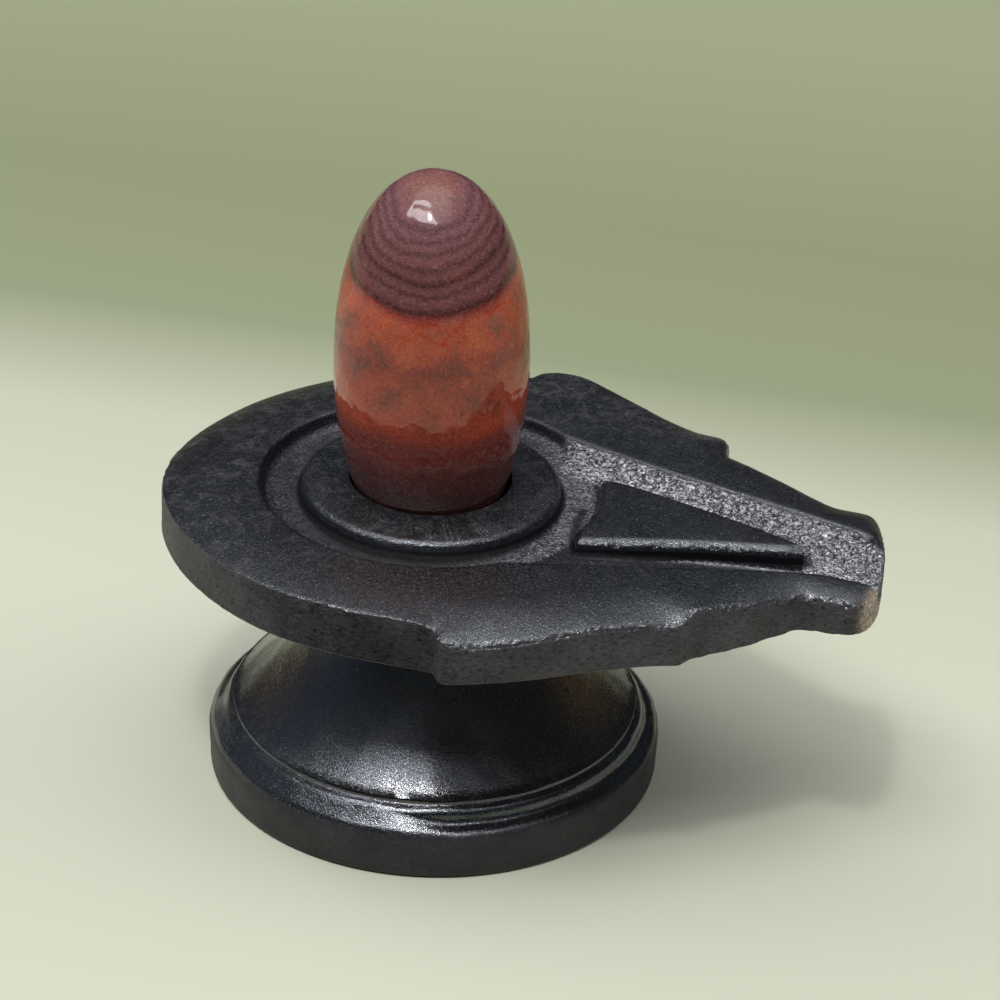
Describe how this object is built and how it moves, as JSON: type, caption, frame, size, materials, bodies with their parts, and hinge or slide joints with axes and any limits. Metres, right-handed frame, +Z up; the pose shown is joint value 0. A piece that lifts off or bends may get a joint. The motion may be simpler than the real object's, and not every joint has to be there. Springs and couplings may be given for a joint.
{
  "type": "shiva lingam stone on a carved stone base",
  "caption": "Polished egg-shaped banded river stone standing in the socket of a black carved stone base with a ring groove, channels, a draining spout and a waisted pedestal.",
  "frame": {"origin": "centre of the foot's flat underside", "axes": "+Z up through the pedestal, +X along the spout towards its mouth, +Y across the plate to its far shoulder"},
  "size_m": [0.1512, 0.1166, 0.1339],
  "materials": {
    "polished_river_stone": "high polish: mauve-brown banded cap over orange-red and dark maroon quartz jasper",
    "black_carved_stone": "hand-carved black stone, oiled top and flank, matte tooled side walls, worn edges"
  },
  "bodies": {
    "root": {"lingam_stone": "polished_river_stone", "yoni_base": "black_carved_stone"}
  },
  "joints": []
}
